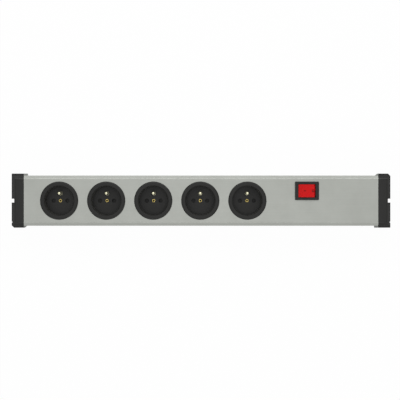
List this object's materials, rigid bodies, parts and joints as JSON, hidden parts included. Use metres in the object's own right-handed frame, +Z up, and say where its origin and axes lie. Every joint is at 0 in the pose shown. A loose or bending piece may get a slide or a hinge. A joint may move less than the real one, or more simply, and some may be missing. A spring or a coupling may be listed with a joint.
{
  "type": "desk power strip",
  "caption": "Long aluminium power strip with a row of round recessed earthed sockets, a red rocker switch, black end caps with open fixing slots and an appliance inlet.",
  "frame": {"origin": "bottom centre of the bounding box, on the desk plane", "axes": "+X along the strip towards the switch, +Z up out of the socket face, +Y across towards the earth pins"},
  "size_m": [0.529, 0.0756, 0.0494],
  "materials": {
    "profile_aluminium": "silver-grey satin coating",
    "plate_aluminium": "bare rolled sheet",
    "liner_plastic": "thin insulating sheet",
    "cap_plastic": "black moulded, fine grain",
    "frame_plastic": "mid-grey moulded",
    "screw_steel": "zinc plated",
    "socket_plastic": "black moulded, satin",
    "shutter_plastic": "dark grey moulded",
    "spring_steel": "spring wire",
    "carrier_plastic": "cream moulded",
    "pin_brass": "pale brass, nickel washed",
    "contact_brass": "stamped",
    "switch_plastic": "black moulded",
    "rocker_red": "translucent red moulded",
    "lamp_glass": "small glow lamp",
    "wire_brown": "wire sleeve",
    "wire_blue": "wire sleeve",
    "wire_green": "wire sleeve"
  },
  "bodies": {
    "housing": {"housing_profile": "profile_aluminium", "base_plate": "plate_aluminium", "insulating_liner": "liner_plastic", "end_cap_left": "cap_plastic", "end_cap_right": "cap_plastic", "end_frame_left": "frame_plastic", "end_frame_right": "frame_plastic", "cap_screws": "screw_steel", "earth_screw": "screw_steel", "socket_1": "socket_plastic", "socket_2": "socket_plastic", "socket_3": "socket_plastic", "socket_4": "socket_plastic", "socket_5": "socket_plastic", "shutter_spring_1": "spring_steel", "shutter_spring_2": "spring_steel", "shutter_spring_3": "spring_steel", "shutter_spring_4": "spring_steel", "shutter_spring_5": "spring_steel", "contact_carrier_1": "carrier_plastic", "contact_carrier_2": "carrier_plastic", "contact_carrier_3": "carrier_plastic", "contact_carrier_4": "carrier_plastic", "contact_carrier_5": "carrier_plastic", "centre_rivets": "pin_brass", "earth_pins": "pin_brass", "live_busbar": "contact_brass", "neutral_busbar": "contact_brass", "earth_busbar": "contact_brass", "earth_bush": "contact_brass", "switch_terminals": "contact_brass", "inlet_pins": "contact_brass", "switch_body": "switch_plastic", "inlet_housing": "switch_plastic", "switch_lamp": "lamp_glass", "live_in_wire": "wire_brown", "live_out_wire": "wire_brown", "neutral_in_wire": "wire_blue", "neutral_out_wire": "wire_blue", "earth_wire": "wire_green"},
    "shutter_1": {"shutter_1": "shutter_plastic"},
    "shutter_2": {"shutter_2": "shutter_plastic"},
    "shutter_3": {"shutter_3": "shutter_plastic"},
    "shutter_4": {"shutter_4": "shutter_plastic"},
    "shutter_5": {"shutter_5": "shutter_plastic"},
    "rocker": {"switch_rocker": "rocker_red", "rocker_plungers": "carrier_plastic", "plunger_springs": "spring_steel"},
    "contact_levers": {"contact_levers": "contact_brass"}
  },
  "joints": [
    {"name": "rocker_pivot", "type": "hinge", "parent": "housing", "child": "rocker", "pos_m": [0.144, 0.0133, 0.0385], "axis": [0, -1, 0], "range_deg": [0, 24]},
    {"name": "lever_pivot", "type": "hinge", "parent": "housing", "child": "contact_levers", "pos_m": [0.144, 0.0133, 0.0265], "axis": [0, -1, 0], "range_deg": [-12, 0]},
    {"name": "shutter_1_pivot", "type": "hinge", "parent": "housing", "child": "shutter_1", "pos_m": [-0.193, 0, 0.026], "axis": [0, 0, 1], "range_deg": [0, 40], "stiffness_Nm_per_rad": 0.01, "springref_deg": -20.05, "deforming": ["shutter_spring_1"]},
    {"name": "shutter_2_pivot", "type": "hinge", "parent": "housing", "child": "shutter_2", "pos_m": [-0.129, 0, 0.026], "axis": [0, 0, 1], "range_deg": [0, 40], "stiffness_Nm_per_rad": 0.01, "springref_deg": -20.05, "deforming": ["shutter_spring_2"]},
    {"name": "shutter_3_pivot", "type": "hinge", "parent": "housing", "child": "shutter_3", "pos_m": [-0.065, 0, 0.026], "axis": [0, 0, 1], "range_deg": [0, 40], "stiffness_Nm_per_rad": 0.01, "springref_deg": -20.05, "deforming": ["shutter_spring_3"]},
    {"name": "shutter_4_pivot", "type": "hinge", "parent": "housing", "child": "shutter_4", "pos_m": [-0.001, 0, 0.026], "axis": [0, 0, 1], "range_deg": [0, 40], "stiffness_Nm_per_rad": 0.01, "springref_deg": -20.05, "deforming": ["shutter_spring_4"]},
    {"name": "shutter_5_pivot", "type": "hinge", "parent": "housing", "child": "shutter_5", "pos_m": [0.063, 0, 0.026], "axis": [0, 0, 1], "range_deg": [0, 40], "stiffness_Nm_per_rad": 0.01, "springref_deg": -20.05, "deforming": ["shutter_spring_5"]}
  ],
  "couplings": [
    {"joint": "lever_pivot", "follows": "rocker_pivot", "ratio": -0.5}
  ]
}
